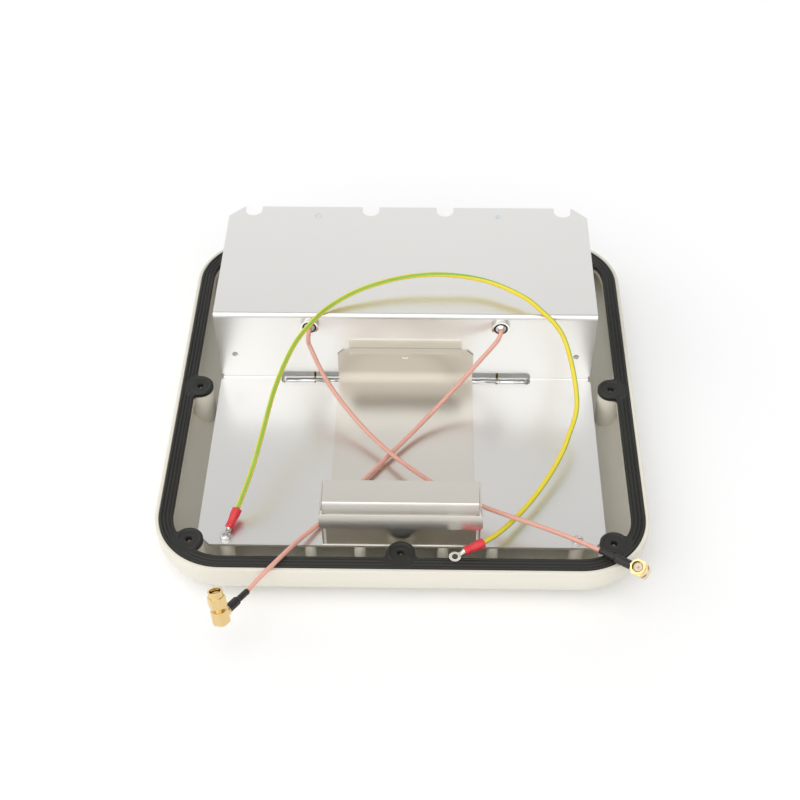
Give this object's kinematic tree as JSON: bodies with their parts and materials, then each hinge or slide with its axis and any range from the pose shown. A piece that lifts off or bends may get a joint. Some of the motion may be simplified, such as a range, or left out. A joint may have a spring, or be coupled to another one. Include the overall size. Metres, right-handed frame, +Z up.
{
  "type": "panel antenna housing half",
  "caption": "Square plastic antenna housing half, open, with rim gasket, Z-bent sheet metal, tinplate cradle, two coax pigtails with right-angle plugs and an earth lead.",
  "frame": {"origin": "centre of the housing's flat outer face, which it lies on", "axes": "+Z up out of the open side, +X to the right and +Y away from the side where the cables leave"},
  "size_m": [0.26, 0.2955, 0.0838],
  "materials": {
    "ivory_plastic": "fine moulded texture, matt",
    "black_rubber": "matt ribbed rubber",
    "sheet_metal": "bright rolled sheet with soft reflections",
    "tinplate": "bright tinplate, slightly warm",
    "nickel": "bright nickel, lightly worn",
    "solder": "smooth solder",
    "brass": "drawn brass",
    "gold_plate": "bright gold plating",
    "board": "glass-fibre board",
    "copper": "etched copper",
    "coax_jacket": "clear brown FEP over braid",
    "earth_jacket": "yellow PVC with a green stripe",
    "heat_shrink": "satin black heat-shrink",
    "red_sleeve": "glossy red vinyl",
    "tinned_copper": "tin plating",
    "ptfe": "PTFE, slightly warm",
    "spacer_plastic": "natural nylon"
  },
  "bodies": {
    "housing": {"housing_tray": "ivory_plastic", "rim_gasket": "black_rubber", "bent_sheet": "sheet_metal", "board_cradle": "tinplate", "cradle_band": "tinplate", "clamp_lid": "tinplate", "cradle_rivet": "nickel", "earth_screw": "nickel", "plate_screw": "nickel", "left_bushing": "nickel", "right_bushing": "nickel", "left_solder": "solder", "right_solder": "solder", "left_feed_pin": "brass", "right_feed_pin": "brass", "ground_sheet": "sheet_metal", "patch_board": "board", "radiating_patches": "copper", "board_spacers": "spacer_plastic", "left_coax": "coax_jacket", "right_coax": "coax_jacket", "earth_lead": "earth_jacket", "left_plug_boot": "heat_shrink", "right_plug_boot": "heat_shrink", "left_plug_elbow": "gold_plate", "right_plug_elbow": "gold_plate", "left_snap_ring": "brass", "right_snap_ring": "brass", "left_insulator": "ptfe", "right_insulator": "ptfe", "left_contact": "gold_plate", "right_contact": "gold_plate", "fixed_terminal": "tinned_copper", "loose_terminal": "tinned_copper", "fixed_sleeve_cover": "red_sleeve", "loose_sleeve_cover": "red_sleeve"},
    "left_nut": {"left_plug_nut": "gold_plate"},
    "right_nut": {"right_plug_nut": "gold_plate"}
  },
  "joints": [
    {"name": "left_nut_turn", "type": "hinge", "parent": "housing", "child": "left_nut", "pos_m": [-0.0875, -0.16, 0.033], "axis": [-0.1395, 0.3985, 0.9065], "continuous": true},
    {"name": "right_nut_turn", "type": "hinge", "parent": "housing", "child": "right_nut", "pos_m": [0.1217, -0.1295, 0.0326], "axis": [-0.284, -0.4589, 0.8419], "continuous": true}
  ]
}
